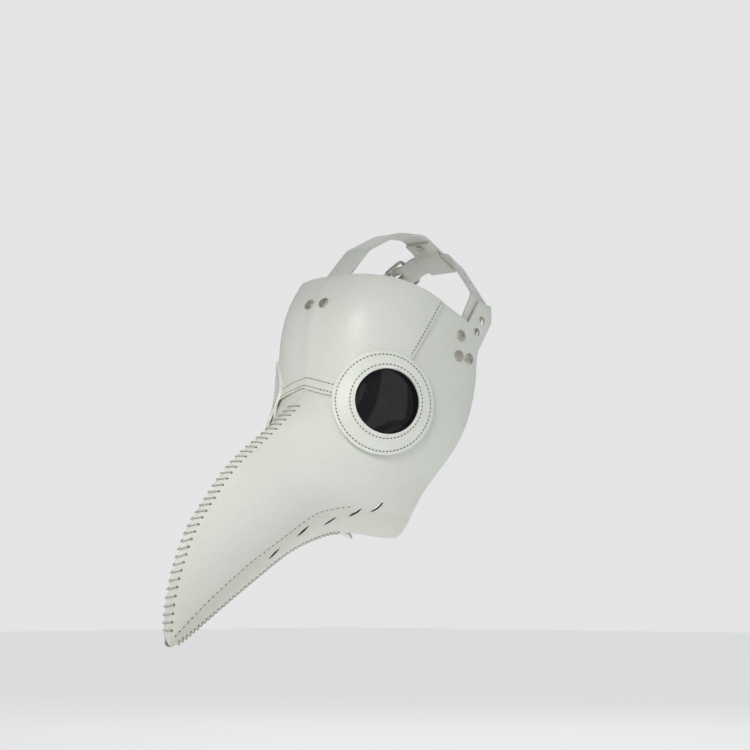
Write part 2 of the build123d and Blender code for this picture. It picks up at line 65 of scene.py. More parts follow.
MM = 0.001
SIDES = (("left", 1), ("right", -1))
EYE_CENTRE = Vector((61.0, 29.0, -14.7)) * MM
EYE_TURN = math.radians(50)
EYE_OUT = Vector((math.sin(EYE_TURN), -math.cos(EYE_TURN), 0))
EYE_ALONG = Vector((math.cos(EYE_TURN), math.sin(EYE_TURN), 0))
EYE_UP = Vector((0, 0, 1))
SLITS = ((-54, -141), (-27, -122), (3.5, -113), (21, -106), (36, -101.5))
SLIT_TILT = math.radians(52)
SLIT_LENGTH, SLIT_WIDTH = 14 * MM, 3.4 * MM
SLIT_REACH = 8.2 * MM
RING_ROWS = ((40.8 * MM, (0, 0)), (31.2 * MM, (2.3, 1.2)))
BAND_ROWS = (1.9, 8.6)
BAND_FALL, BAND_RUN, BAND_ROUND = 7.0, 26.0, 4.0
TEMPLE_FOOT, TEMPLE_TOP = (53.8, 25.3), (93.5, 82.4)
TEMPLE_RUN = Vector((0, 56, 80.4)).normalized()
TEMPLE_INSET = 3.0
CREASE = ((-156, -211), (-151, -208), (-139, -196), (-123, -181), (-106, -167), (-82, -149), (-57, -133),
          (-40, -121.5), (-26.5, -112), (-17, -107), (5, -102), (17, -101))
CREASE_SLOPE = 0.15
CREASE_FADE = 4.0
# Material slots: the first paints shade into the vent walls, then the napped back and the raw edge.
HOLE_SHADE, LINED, CUT = 1, 2, 3
FLOOR_GAP = 0.16
CAMERA_AZIMUTH, CAMERA_ELEVATION, CAMERA_DISTANCE = 46, -5, 2.0


# ---------------------------------------------------------------- sizes and colours

class MaskLeather(bpy.types.PropertyGroup):
    """The white leather of the panels and rings."""
    colour: bpy.props.FloatVectorProperty(
        name="Leather", description="Clean colour of the coated leather", subtype="COLOR",
        default=(0.76, 0.785, 0.72), size=3, min=0, max=1)
    # Also the colour of the painted warm bounce light and shade below the crease.
    dirt_and_shade_colour: bpy.props.FloatVectorProperty(
        name="Dirt and underside shade", description="Colour where the leather is handled or turned under", subtype="COLOR",
        default=(0.62, 0.57, 0.47), size=3, min=0, max=1)
    edge_round: bpy.props.FloatProperty(
        name="Edge rounding", description="How far a cut edge is rounded over", default=0.00035,
        unit="LENGTH", min=0, max=0.001)


class MaskSewing(bpy.types.PropertyGroup):
    """The machine stitches and the hand lacing."""
    thread: bpy.props.FloatVectorProperty(
        name="Thread", description="Colour of the sewing thread", subtype="COLOR",
        default=(0.70, 0.70, 0.61), size=3, min=0, max=1)
    stitch_pitch: bpy.props.FloatProperty(
        name="Stitch pitch", description="From one machine stitch to the next", default=0.0033,
        unit="LENGTH", min=0.001, max=0.01)
    stitch_radius: bpy.props.FloatProperty(
        name="Stitch thickness", description="Radius of the machine thread", default=0.00042,
        unit="LENGTH", min=0.0001, max=0.001)
    crease_pitch: bpy.props.FloatProperty(
        name="Crease pitch", description="From one stitch of the lower crease to the next", default=0.005,
        unit="LENGTH", min=0.001, max=0.02)
    lace_radius: bpy.props.FloatProperty(
        name="Lace thickness", description="Radius of the waxed hand thread", default=0.00055,
        unit="LENGTH", min=0.0002, max=0.002)


class MaskMetal(bpy.types.PropertyGroup):
    """Rivets, buckle and lenses."""
    nickel: bpy.props.FloatVectorProperty(
        name="Nickel", description="Colour of the dulled rivets", subtype="COLOR",
        default=(0.68, 0.64, 0.55), size=3, min=0, max=1)
    lens_tint: bpy.props.FloatVectorProperty(
        name="Lens", description="Colour of the smoked lenses", subtype="COLOR",
        default=(0.006, 0.007, 0.008), size=3, min=0, max=1)


# ---------------------------------------------------------------- shader groups and materials

def new_group(name, inputs, outputs):
    """An empty shader group with its sockets, and its input and output nodes."""
    tree = bpy.data.node_groups.new(name, "ShaderNodeTree")
    for label, kind, default in inputs:
        socket = tree.interface.new_socket(label, in_out="INPUT", socket_type=kind)
        socket.default_value = default
    for label, kind in outputs:
        tree.interface.new_socket(label, in_out="OUTPUT", socket_type=kind)
    return tree, tree.nodes.new("NodeGroupInput"), tree.nodes.new("NodeGroupOutput")


def noise(tree, where, scale, detail=3.0, rough=0.55):
    """A noise node on given coordinates; scale is a socket or a number."""
    node = tree.nodes.new("ShaderNodeTexNoise")
    tree.links.new(where, node.inputs["Vector"])
    if isinstance(scale, bpy.types.NodeSocket):
        tree.links.new(scale, node.inputs["Scale"])
    else:
        node.inputs["Scale"].default_value = scale
    node.inputs["Detail"].default_value = detail
    node.inputs["Roughness"].default_value = rough
    return node.outputs["Fac"]


def calc(tree, operation, first, second=0.5, third=None, clamp=False):
    """A math node; each value is a socket or a number."""
    node = tree.nodes.new("ShaderNodeMath")
    node.operation = operation
    node.use_clamp = clamp
    for index, value in enumerate((first, second, third)):
        if value is None:
            continue
        if isinstance(value, bpy.types.NodeSocket):
            tree.links.new(value, node.inputs[index])
        else:
            node.inputs[index].default_value = value
    return node.outputs[0]


def blend(tree, share, first, second):
    """A colour mix of two sockets or colours by a share."""
    node = tree.nodes.new("ShaderNodeMix")
    node.data_type = "RGBA"
    for index, value in ((0, share), (6, first), (7, second)):
        if isinstance(value, bpy.types.NodeSocket):
            tree.links.new(value, node.inputs[index])
        else:
            node.inputs[index].default_value = value
    return node.outputs[2]


def ramp(tree, value, low, high):
    """A smooth step from 0 to 1 between two values."""
    node = tree.nodes.new("ShaderNodeMapRange")
    node.interpolation_type = "SMOOTHSTEP"
    tree.links.new(value, node.inputs["Value"])
    node.inputs["From Min"].default_value = low
    node.inputs["From Max"].default_value = high
    return node.outputs["Result"]


def leather_grain_group():
    """Pebbled grain, pores and soft handling folds, as one height."""
    tree, given, made = new_group(
        "Leather Grain",
        (("Pebble Scale", "NodeSocketFloat", 900.0), ("Fold Scale", "NodeSocketFloat", 28.0),
         ("Fold Share", "NodeSocketFloat", 0.5)),
        (("Height", "NodeSocketFloat"), ("Pores", "NodeSocketFloat")))
    where = tree.nodes.new("ShaderNodeTexCoord").outputs["Object"]
    cells = tree.nodes.new("ShaderNodeTexVoronoi")
    cells.feature = "SMOOTH_F1"
    tree.links.new(where, cells.inputs["Vector"])
    tree.links.new(given.outputs["Pebble Scale"], cells.inputs["Scale"])
    pebbles = ramp(tree, cells.outputs["Distance"], 0.15, 0.75)
    fine = noise(tree, where, given.outputs["Pebble Scale"], 4.0, 0.6)
    folds = noise(tree, where, given.outputs["Fold Scale"], 2.0, 0.45)
    grain = calc(tree, "MULTIPLY_ADD", fine, 0.5, calc(tree, "MULTIPLY", pebbles, -0.35))
    weighted = calc(tree, "MULTIPLY", folds, given.outputs["Fold Share"])
    tree.links.new(calc(tree, "ADD", calc(tree, "MULTIPLY", grain, 0.12), weighted), made.inputs["Height"])
    tree.links.new(pebbles, made.inputs["Pores"])
    return tree


def marks_and_underside_shade_group():
    """Handling marks: a broken cloud of soiling with flecks, darker and browner towards the bottom of the beak,
    plus painted warm bounce light and shade on the turned-under strip.
    """
    tree, given, made = new_group(
        "Handling Marks And Underside Shade",
        (("Clean", "NodeSocketColor", (0.8, 0.8, 0.8, 1)), ("Soiled", "NodeSocketColor", (0.5, 0.45, 0.4, 1)),
         ("Amount", "NodeSocketFloat", 0.3), ("Under", "NodeSocketFloat", 0.0)),
        (("Colour", "NodeSocketColor"), ("Mask", "NodeSocketFloat")))
    where = tree.nodes.new("ShaderNodeTexCoord").outputs["Object"]
    cloud = ramp(tree, noise(tree, where, 16.0, 5.0, 0.6), 0.42, 0.78)
    flecks = ramp(tree, noise(tree, where, 160.0, 3.0, 0.7), 0.62, 0.80)
    height = tree.nodes.new("ShaderNodeSeparateXYZ")
    tree.links.new(where, height.inputs[0])
    low = tree.nodes.new("ShaderNodeMapRange")
    tree.links.new(height.outputs["Z"], low.inputs["Value"])
    low.inputs["From Min"].default_value = -0.05
    low.inputs["From Max"].default_value = -0.225
    # Darker and browner towards the bottom of the beak.
    tip = calc(tree, "POWER", low.outputs["Result"], 2.5)
    marks = calc(tree, "MULTIPLY", calc(tree, "MULTIPLY_ADD", flecks, 0.25, cloud), given.outputs["Amount"])
    marks = calc(tree, "MULTIPLY_ADD", tip, 0.30, marks)
    # Painted warm bounce light and shade on the strip turned under below the crease.
    marks = calc(tree, "MULTIPLY_ADD", given.outputs["Under"], 0.22, marks, clamp=True)
    colour = blend(tree, marks, given.outputs["Clean"], given.outputs["Soiled"])
    tree.links.new(colour, made.inputs["Colour"])
    tree.links.new(marks, made.inputs["Mask"])
    return tree


def start_material(name):
    """A node material with its shader."""
    material = bpy.data.materials.new(name)
    material.use_nodes = True
    return material, material.node_tree, material.node_tree.nodes["Principled BSDF"]


def place_group(tree, group, **values):
    """A group node in a material, with some of its inputs set."""
    node = tree.nodes.new("ShaderNodeGroup")
    node.node_tree = group
    for label, value in values.items():
        node.inputs[label.replace("_", " ")].default_value = value
    return node


def add_bump(tree, shader, height, strength, distance):
    """A bump on the shader's normal."""
    bump = tree.nodes.new("ShaderNodeBump")
    bump.inputs["Strength"].default_value = strength
    bump.inputs["Distance"].default_value = distance
    tree.links.new(height, bump.inputs["Height"])
    tree.links.new(bump.outputs["Normal"], shader.inputs["Normal"])


def centre_fold(tree, height):
    """Adds the soft fold down the middle of the brow to a height."""
    where = tree.nodes.new("ShaderNodeTexCoord").outputs["Object"]
    parts = tree.nodes.new("ShaderNodeSeparateXYZ")
    tree.links.new(where, parts.inputs[0])
    off = calc(tree, "ABSOLUTE", parts.outputs["X"], 0.0)
    crest = calc(tree, "SUBTRACT", 1.0, ramp(tree, off, 0.0, 0.011))
    return calc(tree, "MULTIPLY_ADD", crest, 2.6, height)


def leather(name, clean, dirt_and_shade_colour, amount, rough, pebble, fold_share, bump=0.0008, under=False, fold=False):
    """Coated leather with grain, handling marks and a satin sheen; with under set, the strip below the crease
    gets painted warm bounce light and shade.
    """
    material, tree, shader = start_material(name)
    marks = place_group(tree, GROUPS["marks"], Clean=(*clean, 1), Soiled=(*dirt_and_shade_colour, 1), Amount=amount)
    grain = place_group(tree, GROUPS["grain"], Pebble_Scale=pebble, Fold_Share=fold_share)
    # Painted warm bounce light and shade below the stitched crease.
    if under:
        mask = tree.nodes.new("ShaderNodeAttribute")
        mask.attribute_name = "turned_under"
        tree.links.new(mask.outputs["Fac"], marks.inputs["Under"])
    dark = blend(tree, calc(tree, "MULTIPLY", grain.outputs["Pores"], 0.10), marks.outputs["Colour"],
                 (0.30, 0.29, 0.25, 1))
    tree.links.new(dark, shader.inputs["Base Color"])
    sheen = calc(tree, "MULTIPLY_ADD", marks.outputs["Mask"], 0.18, rough)
    tree.links.new(sheen, shader.inputs["Roughness"])
    shader.inputs["Specular IOR Level"].default_value = 0.45
    height = centre_fold(tree, grain.outputs["Height"]) if fold else grain.outputs["Height"]
    add_bump(tree, shader, height, 0.55, bump)
    return material


def raw_edge():
    """The cut side of the leather, fibrous and unpainted."""
    material, tree, shader = start_material("raw_leather_edge")
    where = tree.nodes.new("ShaderNodeTexCoord").outputs["Object"]
    fibres = noise(tree, where, 1400.0, 4.0, 0.7)
    colour = blend(tree, fibres, (0.42, 0.38, 0.30, 1), (0.66, 0.63, 0.54, 1))
    tree.links.new(colour, shader.inputs["Base Color"])
    shader.inputs["Roughness"].default_value = 0.85
    add_bump(tree, shader, fibres, 0.5, 0.0003)
    return material


def lining():
    """The napped cloth-like back of the leather."""
    material, tree, shader = start_material("napped_leather_back")
    where = tree.nodes.new("ShaderNodeTexCoord").outputs["Object"]
    nap = noise(tree, where, 1100.0, 5.0, 0.7)
    cloud = ramp(tree, noise(tree, where, 22.0, 4.0, 0.6), 0.3, 0.75)
    colour = blend(tree, nap, (0.40, 0.37, 0.31, 1), (0.58, 0.55, 0.48, 1))
    tree.links.new(blend(tree, calc(tree, "MULTIPLY", cloud, 0.35), colour, (0.34, 0.31, 0.26, 1)),
                   shader.inputs["Base Color"])
    shader.inputs["Roughness"].default_value = 0.92
    shader.inputs["Sheen Weight"].default_value = 0.25
    add_bump(tree, shader, nap, 0.6, 0.0004)
    return material


def hole_shadow():
    """Painted shade: the dark inside of needle holes and vents."""
    material, tree, shader = start_material("thread_hole_shadow")
    where = tree.nodes.new("ShaderNodeTexCoord").outputs["Object"]
    mottled = noise(tree, where, 900.0)
    tree.links.new(blend(tree, mottled, (0.025, 0.022, 0.02, 1), (0.08, 0.07, 0.06, 1)),
                   shader.inputs["Base Color"])
    shader.inputs["Roughness"].default_value = 0.9
    return material


def thread_finish(name, colour, dark):
    """Waxed twisted thread: fine slanted plies, darker between them as painted shade in the grooves, with
    random fuzz.
    """
    material, tree, shader = start_material(name)
    where = tree.nodes.new("ShaderNodeTexCoord").outputs["Object"]
    plies = tree.nodes.new("ShaderNodeTexWave")
    plies.bands_direction = "DIAGONAL"
    plies.inputs["Scale"].default_value = 420.0
    plies.inputs["Distortion"].default_value = 1.5
    tree.links.new(where, plies.inputs["Vector"])
    fuzz = noise(tree, where, 2200.0, 3.0, 0.6)
    # Painted shade between the plies, mixed with random fuzz.
    strands = calc(tree, "MULTIPLY", plies.outputs["Fac"], 0.6)
    shade = calc(tree, "MULTIPLY_ADD", fuzz, 0.4, strands, clamp=True)
    tree.links.new(blend(tree, shade, (*dark, 1), (*colour, 1)), shader.inputs["Base Color"])
    shader.inputs["Roughness"].default_value = 0.62
    add_bump(tree, shader, plies.outputs["Fac"], 0.5, 0.0002)
    return material


def nickel_finish(name, colour, rough):
    """Dulled nickel with fine scratches and tarnish in patches."""
    material, tree, shader = start_material(name)
    where = tree.nodes.new("ShaderNodeTexCoord").outputs["Object"]
    patches = ramp(tree, noise(tree, where, 240.0, 4.0, 0.6), 0.35, 0.7)
    scratches = noise(tree, where, 3000.0, 2.0, 0.5)
    darker = tuple(0.55 * part for part in colour)
    tree.links.new(blend(tree, patches, (*colour, 1), (*darker, 1)), shader.inputs["Base Color"])
    shader.inputs["Metallic"].default_value = 1.0
    spread = calc(tree, "MULTIPLY_ADD", patches, 0.2, calc(tree, "MULTIPLY_ADD", scratches, 0.12, rough))
    tree.links.new(spread, shader.inputs["Roughness"])
    add_bump(tree, shader, scratches, 0.15, 0.0001)
    return material


def lens_finish(tint):
    """Smoked acetate: near black, glossy, with a faint film of dust."""
    material, tree, shader = start_material("smoked_lens_acetate")
    where = tree.nodes.new("ShaderNodeTexCoord").outputs["Object"]
    dust = ramp(tree, noise(tree, where, 90.0, 6.0, 0.7), 0.45, 0.85)
    tree.links.new(blend(tree, dust, (*tint, 1), (0.016, 0.017, 0.018, 1)), shader.inputs["Base Color"])
    tree.links.new(calc(tree, "MULTIPLY_ADD", dust, 0.08, 0.05), shader.inputs["Roughness"])
    shader.inputs["IOR"].default_value = 1.49
    shader.inputs["Specular IOR Level"].default_value = 0.32
    return material


# ---------------------------------------------------------------- shapes

def closed_copy(node):
    """A mesh in hand of a CAD node, its loose triangles merged."""
    bm = bmesh.new()
    bm.from_mesh(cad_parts[node].data)
    bmesh.ops.remove_doubles(bm, verts=bm.verts, dist=2e-6)
    bmesh.ops.dissolve_degenerate(bm, dist=1e-6, edges=bm.edges)
    return bm


def finish_piece(bm, name, body, material, replaces=(), smooth=True, extra=()):
    """Turns a mesh in hand into a piece of the object, riding on its body."""
    mesh = bpy.data.meshes.new(name)
    for face in bm.faces:
        face.smooth = smooth
    bm.to_mesh(mesh)
    bm.free()
    mesh.materials.append(material)
    for other in extra:
        mesh.materials.append(other)
    piece = bpy.data.objects.new(name, mesh)
    bpy.context.scene.collection.objects.link(piece)
    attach(piece, body)
    if replaces:
        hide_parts(*replaces)
    return piece


def soften_edges(bm, radius, angle=38):
    """Rounds every sharp edge."""
    sharp = [e for e in bm.edges if len(e.link_faces) == 2 and e.calc_face_angle(0) > math.radians(angle)]
    bmesh.ops.bevel(bm, geom=sharp, offset=radius, offset_type="OFFSET", segments=2, profile=0.5,
                    affect="EDGES", clamp_overlap=True, material=-1)


def surface_of(*nodes):
    """A tree of the outer faces of some CAD nodes, to set things down on."""
    bm = bmesh.new()
    for node in nodes:
        bm.from_mesh(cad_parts[node].data)
    tree = BVHTree.FromBMesh(bm)
    bm.free()
    return tree


def drop(tree, start, direction):
    """Where a thing let go at start first meets the surface: the place and the outward normal."""
    place, normal, _, _ = tree.ray_cast(start, direction, 0.4)
    if place is None:
        return None
    return place, -normal if normal.dot(direction) > 0 else normal


def drop_from_side(tree, side, y, z):
    """The outside of the mask at a place in the side view, in millimetres."""
    return drop(tree, Vector((0.2 * side, y * MM, z * MM)), Vector((-side, 0, 0)))


def walk(points, pitch):
    """Places and directions at equal steps along a chain of points."""
    steps = [(b - a).length for a, b in zip(points, points[1:])]
    count = max(1, int(sum(steps) / pitch))
    spots = []
    for index in range(count):
        goal = (index + 0.5) * sum(steps) / count
        for (first, second), step in zip(zip(points, points[1:]), steps):
            if goal <= step or second is points[-1]:
                share = min(goal / max(step, 1e-9), 1)
                spots.append((first.lerp(second, share), (second - first).normalized()))
                break
            goal -= step
    return spots


def stand_frame(place, normal, direction):
    """A transform whose X lies along the direction and Z along the normal."""
    across = normal.cross(direction).normalized()
    forward = across.cross(normal).normalized()
    turned = Matrix((forward, across, normal)).transposed().to_4x4()
    turned.translation = place
    return turned


def add_stitch(bm, place, normal, direction, length, radius, rng):
    """One stitch: a bead of thread pulled down at both ends."""
    tilt = Matrix.Rotation(rng.uniform(-0.10, 0.10), 4, "Z")
    size = Matrix.Diagonal((length / 2, radius, radius * 0.9, 1))
    stand = stand_frame(place + normal * radius * 0.35, normal, direction)
    bmesh.ops.create_icosphere(bm, subdivisions=1, radius=1.0, matrix=stand @ tilt @ size)


def add_needle_hole_shade(bm, place, normal, direction, length, width):
    """A dark oval disc laid just above the surface where the needle went through: painted shade of the hole."""
    size = Matrix.Diagonal((length / 2, width / 2, 1, 1))
    flat = stand_frame(place + normal * 0.05 * MM, normal, direction) @ size
    bmesh.ops.create_cone(bm, cap_ends=True, cap_tris=False, segments=8, radius1=1.0, radius2=0.8,
                          depth=0.12 * MM, matrix=flat)


def sew(bm, holes, tree, spots, pitch, radius, rng, share=0.5):
    """A row of stitches, each with a dark disc of painted shade for its needle hole, along places that already
    lie on a surface.
    """
    chain = [place for place, _ in spots]
    normals = [normal for _, normal in spots]
    for place, direction in walk(chain, pitch):
        near = min(range(len(chain)), key=lambda i: (chain[i] - place).length_squared)
        hit = drop(tree, place + normals[near] * 0.004, -normals[near])
        if hit is None:
            continue
        add_stitch(bm, hit[0], hit[1], direction, pitch * share, radius, rng)
        behind = drop(tree, place - direction * pitch / 2 + normals[near] * 0.004, -normals[near])
        if behind:
            add_needle_hole_shade(holes, behind[0], behind[1], direction, radius * 3.8, radius * 3.0)


def side_chain(tree, side, points, step=2.0):
    """A chain in the side view laid on the surface, as places with normals."""
    flat = [place for place, _ in walk([Vector((0, y, z)) for y, z in points], step)]
    for _ in range(12):
        flat = [flat[0]] + [(a + b * 2 + c) / 4 for a, b, c in zip(flat, flat[1:], flat[2:])] + [flat[-1]]
    found = []
    for place in flat:
        hit = drop_from_side(tree, side, place.y, place.z)
        if hit:
            found.append(hit)
    return found


def band_chain(tree, side, up):
    """Places a distance above the brow band's lower edge, from the bridge to behind the ring."""
    found = []
    for step in range(30):
        x = 0.8 + step * 1.5
        z = -BAND_FALL * (math.hypot(x, BAND_ROUND) - BAND_ROUND + 1.0) / BAND_RUN + up
        hit = drop(tree, Vector((x * MM * side, -0.1, z * MM)), Vector((0, 1, 0)))
        if hit:
            found.append(hit)
    return found


def eye_circle(tree, side, radius, shift, count=96):
    """A closed ring of places on the surface round the eye's axis."""
    found = []
    for index in range(count + 1):
        turn = 2 * math.pi * index / count
        start = (EYE_CENTRE + EYE_ALONG * (shift[0] * MM + radius * math.cos(turn))
                 + EYE_UP * (shift[1] * MM + radius * math.sin(turn)) + EYE_OUT * 0.05)
        start.x *= side
        hit = drop(tree, start, Vector((-EYE_OUT.x * side, -EYE_OUT.y, 0)))
        if hit:
            found.append(hit)
    return found


def lens_loop(bm, matrix, half_length, half_width, rise, count=28):
    """A pointed oval loop of edges, for a vent's lip."""
    loop = bmesh.ops.create_circle(bm, cap_ends=False, segments=count, radius=1.0)["verts"]
    for vert in loop:
        narrow = (1.0 - vert.co.x ** 2 * 0.96) ** 0.25
        vert.co = Vector((vert.co.x * half_length, vert.co.y * half_width * narrow, rise))
    bmesh.ops.transform(bm, matrix=matrix, verts=loop)
    return list({edge for vert in loop for edge in vert.link_edges})


def add_lip(bm, matrix, length, width):
    """A rolled lip round a vent: five loops bridged into a closed ring."""
    loops = (
        (length / 2 + 1.9 * MM, width / 2 + 1.7 * MM, -0.35 * MM),
        (length / 2 + 0.9 * MM, width / 2 + 0.9 * MM, 0.40 * MM),
        (length / 2 + 0.3 * MM, width / 2 + 0.3 * MM, 0.42 * MM),
        (length / 2 + 0.05 * MM, width / 2 + 0.02 * MM, 0.0),
        (length / 2 + 0.5 * MM, width / 2 + 0.4 * MM, -0.9 * MM),
    )
    rings = [lens_loop(bm, matrix, *loop) for loop in loops]
    for first, second in zip(rings, rings[1:] + rings[:1]):
        bmesh.ops.bridge_loops(bm, edges=first + second)


def islands(bm):
    """Groups of vertices that hang together."""
    left = set(bm.verts)
    groups = []
    while left:
        stack = [left.pop()]
        group = []
        while stack:
            vert = stack.pop()
            group.append(vert)
            for edge in vert.link_edges:
                other = edge.other_vert(vert)
                if other in left:
                    left.remove(other)
                    stack.append(other)
        groups.append(group)
    return groups


def lace_legs(node):
    """The hole and the seam end of each left leg of a laced seam."""
    bm = closed_copy(node)
    legs = []
    for group in islands(bm):
        middle = sum((v.co for v in group), Vector()) / len(group)
        if middle.x < 0:
            continue
        outer = max(v.co.x for v in group)
        hole = [v.co for v in group if v.co.x > middle.x + (outer - middle.x) * 0.5]
        seam = [v.co for v in group if v.co.x < middle.x * 0.5]
        legs.append((sum(hole, Vector()) / len(hole), sum(seam, Vector()) / len(seam)))
    bm.free()
    return legs


def add_tube(bm, path, radius, sides=6):
    """A thread along a few points: a circle extruded from point to point and capped."""
    ring = None
    for index, point in enumerate(path):
        ahead = path[min(index + 1, len(path) - 1)] - path[max(index - 1, 0)]
        turn = ahead.to_track_quat("Z", "Y").to_matrix().to_4x4()
        turn.translation = point
        loop = bmesh.ops.create_circle(bm, cap_ends=index in (0, len(path) - 1), segments=sides,
                                       radius=radius, matrix=turn)["verts"]
        edges = list({e for v in loop for e in v.link_edges if e.other_vert(v) in loop})
        if ring:
            bmesh.ops.bridge_loops(bm, edges=ring + edges)
        ring = edges


def mark_turned_under(bm):
    """Writes how far each point lies below the stitched crease, from 0 to 1; the panel leather paints warm
    bounce light and shade there.
    """
    layer = bm.verts.layers.float.new("turned_under")
    for vert in bm.verts:
        y, z = vert.co.y / MM, vert.co.z / MM
        if y > CREASE[-1][0]:
            crease = CREASE[-1][1] - (y - CREASE[-1][0]) * CREASE_SLOPE
        else:
            crease = CREASE[0][1]
            for (y0, z0), (y1, z1) in zip(CREASE, CREASE[1:]):
                if y0 <= y <= y1:
                    crease = z0 + (z1 - z0) * (y - y0) / (y1 - y0)
        vert[layer] = max(0.0, min(1.0, (crease - z) / CREASE_FADE + 0.5))


def face_kinds(bm, outward, raw):
    """Sets the lining on faces that look inwards, and the raw edge on those that raw() picks."""
    for face in bm.faces:
        middle = face.calc_center_median()
        if raw(face, middle):
            face.material_index = CUT
        elif face.normal.dot(outward(middle)) < -0.05:
            face.material_index = LINED


def shade_vent_walls(bm, side):
    """Paints the cut walls of the vents dark: painted shade of the vents' insides."""
    for y, z in SLITS:
        middle = Vector((0, y * MM, z * MM))
        near = [f for f in bm.faces
                if (Vector((0, *f.calc_center_median()[1:])) - middle).length < SLIT_REACH]
        outer = [f for f in near if f.normal.x * side > 0.15 and f.calc_area() > 1e-6] or near
        normal = sum((f.normal for f in outer), Vector()).normalized()
        for face in near:
            if abs(face.normal.dot(normal)) < 0.5:
                face.material_index = HOLE_SHADE


# ---------------------------------------------------------------- the pieces, one operator each

GROUPS = {}
FINISH = {}


class MASK_OT_finishes(bpy.types.Operator):
    """Makes the leather, thread, metal and lens materials"""
    bl_idname = "mask.finishes"
    bl_label = "Finishes"

    def execute(self, context):
        skin = context.scene.mask_leather
        sewing = context.scene.mask_sewing
        metal = context.scene.mask_metal
        GROUPS["grain"] = leather_grain_group()
        GROUPS["marks"] = marks_and_underside_shade_group()
        clean, dirt_and_shade_colour = tuple(skin.colour), tuple(skin.dirt_and_shade_colour)
        # The panel leather paints warm bounce light and shade below the crease.
        FINISH["panel"] = leather("white_panel_leather", clean, dirt_and_shade_colour, 0.14, 0.34, 900.0, 0.45, under=True)
        FINISH["brow"] = leather("white_brow_leather", clean, dirt_and_shade_colour, 0.16, 0.36, 900.0, 0.5, fold=True)
        paler, duller = tuple(min(1, c * 1.05) for c in clean), tuple(c * 0.95 for c in clean)
        FINISH["ring"] = leather("white_ring_leather", paler, dirt_and_shade_colour, 0.10, 0.38, 1100.0, 0.25)
        FINISH["strap"] = leather("white_strap_leather", duller, dirt_and_shade_colour, 0.30, 0.45, 800.0, 0.3)
        FINISH["edge"] = raw_edge()
        FINISH["lining"] = lining()
        FINISH["stitch"] = thread_finish("machine_thread", tuple(sewing.thread), (0.54, 0.53, 0.46))
        FINISH["lace"] = thread_finish("waxed_lacing_thread", (0.66, 0.65, 0.57), (0.40, 0.38, 0.31))
        FINISH["nickel"] = nickel_finish("dull_nickel", tuple(metal.nickel), 0.34)
        FINISH["plate"] = nickel_finish("buckle_plate", (0.62, 0.60, 0.56), 0.22)
        FINISH["lens"] = lens_finish(tuple(metal.lens_tint))
        FINISH["hole"] = hole_shadow()
        return {"FINISHED"}


class MASK_OT_side_panels(bpy.types.Operator):
    """Makes the two side panels: beak half, cheek, temple and strap tab"""
    bl_idname = "mask.side_panels"
    bl_label = "Side panels"

    def execute(self, context):
        for name, side in SIDES:
            bm = closed_copy(name + "_side_panel")
            soften_edges(bm, context.scene.mask_leather.edge_round)
            mark_turned_under(bm)
            face_kinds(bm, lambda middle: Vector((side, 0, 0)),
                       lambda face, middle: middle.y > 0.066 and abs(face.normal.x) < 0.05)
            # The vent walls get painted shade.
            shade_vent_walls(bm, side)
            finish_piece(bm, name + "_panel_leather", "mask", FINISH["panel"],
                         [name + "_side_panel"], extra=[FINISH["hole"], FINISH["lining"], FINISH["edge"]])
        return {"FINISHED"}


class MASK_OT_brow(bpy.types.Operator):
    """Makes the forehead panel with its band over the bridge"""
    bl_idname = "mask.brow"
    bl_label = "Forehead panel"

    def execute(self, context):
        bm = closed_copy("forehead_panel")
        soften_edges(bm, context.scene.mask_leather.edge_round)
        face_kinds(bm, lambda middle: Vector((middle.x, middle.y - 0.075, 0)).normalized(),
                   lambda face, middle: middle.z > 0.07 and abs(face.normal.z) > 0.85)
        finish_piece(bm, "brow_leather", "mask", FINISH["brow"], ["forehead_panel"],
                     extra=[FINISH["hole"], FINISH["lining"], FINISH["edge"]])
        return {"FINISHED"}


class MASK_OT_eye_rings(bpy.types.Operator):
    """Makes the sewn rings, the lenses and what backs them"""
    bl_idname = "mask.eye_rings"
    bl_label = "Eye rings and lenses"

    def execute(self, context):
        for name, _ in SIDES:
            bm = closed_copy(name + "_eye_ring")
            soften_edges(bm, context.scene.mask_leather.edge_round * 1.4)
            finish_piece(bm, name + "_ring_leather", "mask", FINISH["ring"],
                         [name + "_eye_ring"])
            bm = closed_copy(name + "_lens")
            finish_piece(bm, name + "_lens_acetate", "mask", FINISH["lens"], [name + "_lens"])
            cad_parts[name + "_lens_backing"].data.materials.clear()
            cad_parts[name + "_lens_backing"].data.materials.append(FINISH["strap"])
        return {"FINISHED"}


class MASK_OT_vents(bpy.types.Operator):
    """Rolls a lip round each slanted vent"""
    bl_idname = "mask.vents"
    bl_label = "Vent lips"

    def execute(self, context):
        for name, side in SIDES:
            tree = surface_of(name + "_side_panel")
            bm = bmesh.new()
            for y, z in SLITS:
                spots = []
                for dy, dz in ((6, 0), (-6, 0), (0, 6), (0, -6)):
                    spots.append(drop_from_side(tree, side, y + dy, z + dz))
                if None in spots:
                    raise RuntimeError("a vent has no leather round it")
                place = sum((s[0] for s in spots), Vector()) / 4
                normal = sum((s[1] for s in spots), Vector()).normalized()
                level = Vector((0, 0, 1)).cross(normal).normalized() * side
                rise = normal.cross(level) * side
                direction = level * math.cos(SLIT_TILT) + rise * math.sin(SLIT_TILT)
                add_lip(bm, stand_frame(place, normal, direction), SLIT_LENGTH, SLIT_WIDTH)
            bmesh.ops.recalc_face_normals(bm, faces=bm.faces)
            finish_piece(bm, name + "_vent_lips", "mask", FINISH["brow"])
        return {"FINISHED"}


